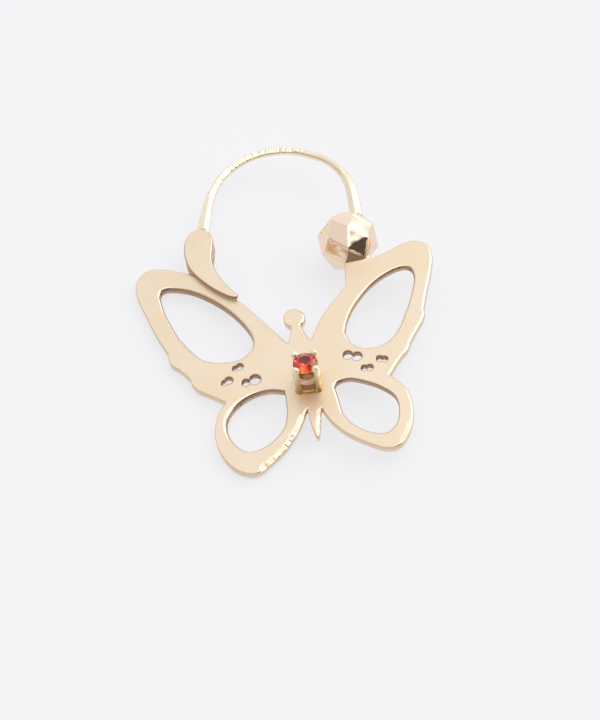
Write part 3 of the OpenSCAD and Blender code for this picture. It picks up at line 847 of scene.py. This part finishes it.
class EARRING_OT_ball(bpy.types.Operator):
    """Makes the faceted catch ball with the hole that the wire's pin clicks into"""
    bl_idname = "earring.ball"
    bl_label = "Catch ball"

    def execute(self, context):
        sizes = context.scene.earring.ball
        normal, level = snub_faces()
        turn = about("Z", BALL_TURN[2]) @ about("Y", BALL_TURN[1]) @ about("X", BALL_TURN[0])
        normal = normal @ turn.T / (level[:, None] * BALL_RADIUS)

        def reach(direction):
            """Where the surface lies: the p-norm of the shares n.u / h over all faces, to the power -1.

            A high power p makes flat facets that meet in narrow rounded ridges.
            """
            shares = np.clip(direction @ normal.T, 0, None)
            return (shares ** sizes.sharpness).sum(axis=-1) ** (-1 / sizes.sharpness)

        # The hole's rim is where the drilling meets the surface, 1.5 to 2.8 mm over the ball's middle.
        # Halving that span 30 times finds it.
        spin = np.linspace(0, 2 * np.pi, sizes.rows * 2, endpoint=False)
        drilled = (CATCH_X + CATCH_RADIUS * np.cos(spin), np.zeros(len(spin)), CATCH_RADIUS * np.sin(spin))
        rim = np.stack(drilled, axis=1) - BALL_AT
        low, high = np.full(len(spin), 1.5), np.full(len(spin), 2.8)
        for halving in range(30):
            rim[:, 1] = (low + high) / 2
            size = np.linalg.norm(rim, axis=1)
            out = size > reach(rim / size[:, None])
            low, high = np.where(out, low, rim[:, 1]), np.where(out, rim[:, 1], high)
        # rows of points run from the rim over the surface to the point opposite
        pole = rim.mean(axis=0) / np.linalg.norm(rim.mean(axis=0))
        start = rim / np.linalg.norm(rim, axis=1)[:, None]
        tilt = np.arccos(start @ pole)
        away = start - pole * (start @ pole)[:, None]
        away /= np.linalg.norm(away, axis=1)[:, None]
        share = np.linspace(0, 1, sizes.rows)[:, None]
        angle = (tilt + (np.pi - tilt) * share)[..., None]
        direction = np.cos(angle) * pole + np.sin(angle) * away
        skin = direction * reach(direction)[..., None]
        # the hole is 1.3 mm deep
        wall = np.stack([rim - (0, down, 0) for down in (1.3, 0.9, 0.5, 0.2, 0.06)])
        bottom = np.broadcast_to(wall[0].mean(axis=0), wall[:1].shape)
        points = np.concatenate((bottom, wall, skin)) + BALL_AT
        faces = grid_faces(len(points), len(spin))
        material = polished_gold("mirror_gold_ball", sizes.gold, roughness=0.05, scratch=0.03, wave=0.5)
        new_piece("catch_ball", points.reshape(-1, 3), faces, material, "jewel", "butterfly",
                  closed=True)
        return {"FINISHED"}


class EARRING_OT_setting(bpy.types.Operator):
    """Makes the open basket of two rails and four claws that holds the stone"""
    bl_idname = "earring.setting"
    bl_label = "Claw setting"

    def execute(self, context):
        sizes = context.scene.earring.setting
        material = cast_gold(sizes)
        line = smooth_curve(CLAW, 0.05)
        ahead = np.gradient(line, axis=0)
        ahead /= np.linalg.norm(ahead, axis=1)[:, None]
        rise = np.linspace(0, 1, len(line))
        # a claw narrows upward by a tenth, has a thick bead at its tip and a thick foot, and ends round
        shaft, bead = 1 - 0.1 * smooth_step(0.2, 0.7, rise), 0.4 * smooth_step(0.78, 0.88, rise)
        foot = 0.7 * (1 - smooth_step(0, 0.2, rise))
        radius = sizes.claw_radius * (shaft + bead + foot)
        round_end = 0.07
        past = np.clip(rise - (1 - round_end), 0, 1) / round_end
        radius = radius * np.sqrt(np.clip(1 - past**2, 0, 1))
        radius[0] = 0
        path = np.stack((line[:, 0], np.zeros(len(line)), line[:, 1]), axis=1)
        side = np.stack((ahead[:, 1], np.zeros(len(line)), -ahead[:, 0]), axis=1)
        up = np.broadcast_to((0.0, 1.0, 0.0), side.shape)
        sides = 20
        claw, faces = sweep(path, side, up, np.repeat(radius[:, None], sides, axis=1))
        parts = [(claw @ about("Z", 45 + 90 * quarter).T, faces) for quarter in range(4)]
        rail_sides = 12
        bend = np.linspace(0, 2 * np.pi, rail_sides + 1)
        for height, out, share in RAILS:
            radius = share * sizes.rail_radius
            heights = HALF_SHEET + height + radius * np.sin(bend)
            ring = np.stack((out + radius * np.cos(bend), heights), axis=1)
            parts.append(turned(ring, (0, 0)))
        points, faces = joined(*parts)
        points = points @ about("Z", SETTING_TURN).T + (*SETTING_AT, 0)
        new_piece("claw_setting", points, faces, material, "jewel", "butterfly", closed=True)
        return {"FINISHED"}


class EARRING_OT_stone(bpy.types.Operator):
    """Gives the cut stone its garnet"""
    bl_idname = "earring.stone"
    bl_label = "Red stone"

    def execute(self, context):
        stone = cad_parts["red_stone"]
        stone.data.materials.clear()
        stone.data.materials.append(garnet(context.scene.earring.setting))
        return {"FINISHED"}


class EARRING_OT_wire(bpy.types.Operator):
    """Bends the ear wire, with its filed facets, its flat eye and its pin"""
    bl_idname = "earring.wire"
    bl_label = "Ear wire"

    def execute(self, context):
        sizes = context.scene.earring.wire
        line = smooth_curve(WIRE, sizes.spacing)
        ahead = np.gradient(line[:, :2], axis=0)
        ahead /= np.linalg.norm(ahead, axis=1)[:, None]
        run = np.concatenate(([0], np.cumsum(np.linalg.norm(np.diff(line[:, :2], axis=0), axis=1))))
        radius = sizes.radius + line[:, 2]
        sides = 40
        turn = np.linspace(0, 2 * np.pi, sides, endpoint=False)
        skin = np.repeat(radius[:, None], sides, axis=1)
        chance = np.random.default_rng(11)
        # Filed blocks up the hinge side: flats across the front and outer side, 0.45 to 0.85 mm long, with
        # a groove between each two. A flat's radius is its distance over the cosine of the turn from it.
        ends = BLOCKS_FROM + np.cumsum(np.concatenate(([0], chance.uniform(0.45, 0.85, 16))))
        block = np.clip(np.searchsorted(ends, run, side="right") - 1, 0, len(ends) - 1)
        filed = (run > ends[0]) & (run < ends[-1])
        flat = chance.uniform(0.74, 0.84, len(ends))[block] * radius
        lean = np.radians(chance.uniform(98, 116, len(ends)))[block]
        near = np.cos(turn[None] - lean[:, None])
        cut = np.where(near > 0.3, flat[:, None] / np.maximum(near, 0.3), np.inf)
        skin = np.where(filed[:, None], np.minimum(skin, cut), skin)
        groove_width, groove_depth = 0.05, 0.07
        groove = np.exp(-((run[:, None] - ends) / groove_width) ** 2).max(axis=1)
        # Fine cross cuts over the top. Like the grooves they are bell-shaped, and deepest on the front.
        places = CUTS_FROM + np.cumsum(chance.uniform(0.16, 0.5, 18))
        nick_width, nick_depth = 0.045, 0.055
        nick = np.exp(-((run[:, None] - places) / nick_width) ** 2).max(axis=1)
        front = np.clip(np.sin(turn), 0, 1)[None] ** 0.5
        skin -= (nick_depth * nick + groove_depth * groove)[:, None] * front
        # two long flats run down each thick end: where they face, in degrees, and how far out they lie
        thick = smooth_step(0.01, 0.06, line[:, 2])[:, None]
        for lean, share in ((62, 0.84), (135, 0.9)):
            near = np.cos(turn - np.radians(lean))
            cut = np.where(near > 0.4, share / np.maximum(near, 0.4), 9.0)[None] * radius[:, None]
            skin = np.minimum(skin, skin + thick * (cut - skin))
        path = np.column_stack((line[:, :2], np.zeros(len(line))))
        side = np.column_stack((-ahead[:, 1], ahead[:, 0], np.zeros(len(line))))
        drop, thin = np.array(PIN).T
        path = np.concatenate((path, path[-1] - drop[:, None] * (0, 1, 0)))
        side = np.concatenate((side, np.broadcast_to(side[-1], (len(drop), 3))))
        up = np.broadcast_to((0.0, 0.0, 1.0), side.shape)
        skin = np.concatenate((skin, np.repeat(thin[:, None], sides, axis=1)))
        run = np.concatenate((run, run[-1] + drop))
        # the wire starts outside the eye's hole
        begin = np.searchsorted(run, WIRE_START)
        path, side, up, skin, run = (values[begin:] for values in (path, side, up, skin, run))
        skin[0] = 0
        points, faces = sweep(path, side, up, skin)
        # between the leaves the leg is filed flat
        between = np.repeat(run < FLAT_END, sides)
        points[:, 2] = np.where(between, np.clip(points[:, 2], -EYE_HALF, EYE_HALF), points[:, 2])
        points, faces = joined((points, faces), turned(EYE, RIVET_AT))
        material = polished_gold("polished_gold_wire", sizes.gold, roughness=0.2, scratch=0.06)
        new_piece("bent_wire", points, faces, material, "wire", "ear_wire", closed=True)
        return {"FINISHED"}


class EARRING_OT_rivet(bpy.types.Operator):
    """Turns the hinge's rivet, whose two heads were hammered almost level with the leaves"""
    bl_idname = "earring.rivet"
    bl_label = "Hinge rivet"

    def execute(self, context):
        profile = [(radius, LEAF_TOP + height) for radius, height in RIVET_DOME]
        profile += [(radius, -height) for radius, height in profile[::-1]]
        points, faces = turned(profile, RIVET_AT)
        material = bpy.data.materials.get("satin_gold_sheet") or satin_gold(context.scene.earring.sheet)
        new_piece("rivet", points, faces, material, "jewel", "hinge_rivet", closed=True)
        return {"FINISHED"}


class EARRING_OT_stage(bpy.types.Operator):
    """Lays the opal table top, paints the room around it and sets the camera"""
    bl_idname = "earring.stage"
    bl_label = "Stage"

    def execute(self, context):
        sizes = context.scene.earring.light
        scene = context.scene
        scene.view_settings.view_transform = "Standard"
        # the table top is two metres square
        mesh = bpy.data.meshes.new("table")
        mesh.from_pydata([(-1, -1, 0), (1, -1, 0), (1, 1, 0), (-1, 1, 0)], [], [(0, 1, 2, 3)])
        mesh.materials.append(opal_sheet(sizes))
        table = bpy.data.objects.new("table", mesh)
        scene.collection.objects.link(table)

        world = bpy.data.worlds.new("white_room")
        scene.world = world
        world.use_nodes = True
        tree = world.node_tree
        tree.nodes.clear()
        toward = add_node(tree, "ShaderNodeTexCoord").outputs["Generated"]
        # The room is white all round, with parts painted over it in turn. Each has a direction, the
        # cosines of the angles to it where it fades in and is full, a brightness and a tint.
        light = scaled("#FFFFFF", sizes.sky)
        for direction, faint, full, level, tint in (
                # the white wall behind the table
                ((0.1, 0.99, 0.1), 0.62, 0.8, sizes.wall, "#FFFFFF"),
                # a big window on the right
                ((0.68, 0.12, 0.72), 0.72, 0.86, sizes.window, "#FFFFFF"),
                # a lamp overhead
                ((0.19, -0.07, 0.98), 0.8, 0.92, sizes.lamp, "#FFFFFF"),
                # the dim brownish side of the room, low on the left
                ((-0.95, -0.3, 0.1), 0.75, 0.9, 0.6, "#FFE9D8"),
                # the dark end of the room, in front and low
                ((0.33, -0.91, 0.26), 0.62, 0.8, 0.1, "#FFE6D2")):
            side = np.array(direction) / np.linalg.norm(direction)
            near = add_node(tree, "ShaderNodeVectorMath", {"operation": "DOT_PRODUCT"}, {
                0: toward, 1: tuple(side)}).outputs["Value"]
            share = add_node(tree, "ShaderNodeMapRange", {"interpolation_type": "SMOOTHSTEP"}, {
                "Value": near, "From Min": faint, "From Max": full}).outputs["Result"]
            light = add_node(tree, "ShaderNodeMix", {"data_type": "RGBA"}, {
                "Factor": share, "A": light, "B": scaled(tint, level)}).outputs["Result"]
        shader = add_node(tree, "ShaderNodeBackground", None, {"Color": light})
        add_node(tree, "ShaderNodeOutputWorld", None, {"Surface": shader.outputs["Background"]})

        lens = bpy.data.cameras.new("camera")
        lens.sensor_fit, lens.sensor_width, lens.lens = "HORIZONTAL", SENSOR, CAMERA_LENS
        lens.clip_start, lens.clip_end = 0.001, 20
        camera = bpy.data.objects.new("camera", lens)
        # the camera's axes are the matrix's columns, and its place is the last one
        back = np.array(CAMERA_BACK) / np.linalg.norm(CAMERA_BACK)
        right = np.cross(CAMERA_UP, back)
        right /= np.linalg.norm(right)
        matrix = np.eye(4)
        matrix[:3] = np.stack((right, np.cross(back, right), back, np.array(CAMERA_AT) / 1000), axis=1)
        camera.matrix_world = Matrix(matrix.tolist())
        scene.collection.objects.link(camera)
        scene.camera = camera
        return {"FINISHED"}


class EARRING_PT_panel(bpy.types.Panel):
    """Lists the earring's sizes and the steps that build it"""
    bl_label = "Butterfly Earring"
    bl_idname = "EARRING_PT_panel"
    bl_space_type = "VIEW_3D"
    bl_region_type = "UI"
    bl_category = "Earring"

    def draw(self, context):
        layout = self.layout
        sizes = context.scene.earring
        for group in (sizes.sheet, sizes.ball, sizes.wire, sizes.setting, sizes.light):
            box = layout.box()
            for key in group.bl_rna.properties.keys():
                if key not in {"rna_type", "name"}:
                    box.prop(group, key)
        for operator in STEPS:
            layout.operator(operator.bl_idname)


STEPS = (EARRING_OT_sheet, EARRING_OT_leaves, EARRING_OT_ball, EARRING_OT_setting, EARRING_OT_stone,
         EARRING_OT_wire, EARRING_OT_rivet, EARRING_OT_stage)
CLASSES = (EarringSheetSizes, EarringBallSizes, EarringWireSizes, EarringSettingSizes, EarringLightSizes,
           EarringSizes, *STEPS, EARRING_PT_panel)


def register():
    """Registers the classes and gives the scene its sizes."""
    for cls in CLASSES:
        bpy.utils.register_class(cls)
    bpy.types.Scene.earring = PointerProperty(type=EarringSizes)


def unregister():
    """Takes back what register() did, in the opposite order."""
    del bpy.types.Scene.earring
    for cls in reversed(CLASSES):
        bpy.utils.unregister_class(cls)


def main():
    """Registers the classes, then builds every piece and the stage."""
    register()
    bpy.ops.earring.sheet()
    bpy.ops.earring.leaves()
    bpy.ops.earring.ball()
    bpy.ops.earring.setting()
    bpy.ops.earring.stone()
    bpy.ops.earring.wire()
    bpy.ops.earring.rivet()
    bpy.ops.earring.stage()


if __name__ == "__main__":
    main()
